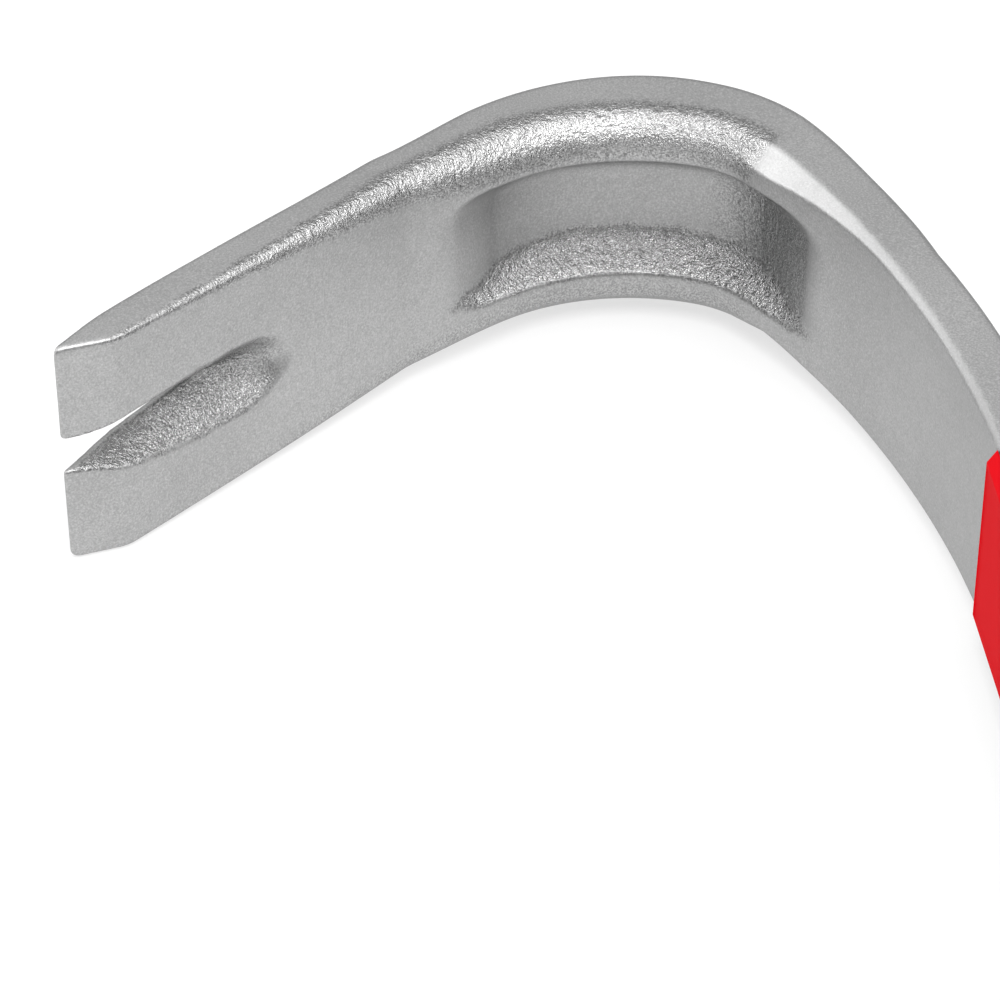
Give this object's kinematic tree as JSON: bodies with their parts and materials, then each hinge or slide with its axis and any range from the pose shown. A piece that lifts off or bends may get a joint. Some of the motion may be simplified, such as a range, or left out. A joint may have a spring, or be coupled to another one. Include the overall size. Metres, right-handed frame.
{
  "type": "pry bar",
  "caption": "Handled pry bar: forged gooseneck claw with a nail slot and pocketed bend on a flat neck, moulded onto a chamfered hard handle with a grooved soft grip and a hang hole.",
  "frame": {"origin": "centre of the hang hole through the butt, midway through the handle's thickness and width", "axes": "+X along the handle from the hang hole to the head, +Y the way the claw reaches, +Z across the bar's width, which points up when the bar lies on its side"},
  "size_m": [0.381, 0.1225, 0.0312],
  "materials": {
    "forged_steel": "satin blasted and zinc plated forging",
    "hard_handle": "smooth red moulding",
    "soft_grip": "fine-grained black thermoplastic elastomer"
  },
  "bodies": {
    "root": {"forged_bar": "forged_steel", "handle_core": "hard_handle", "soft_grip": "soft_grip"}
  },
  "joints": []
}
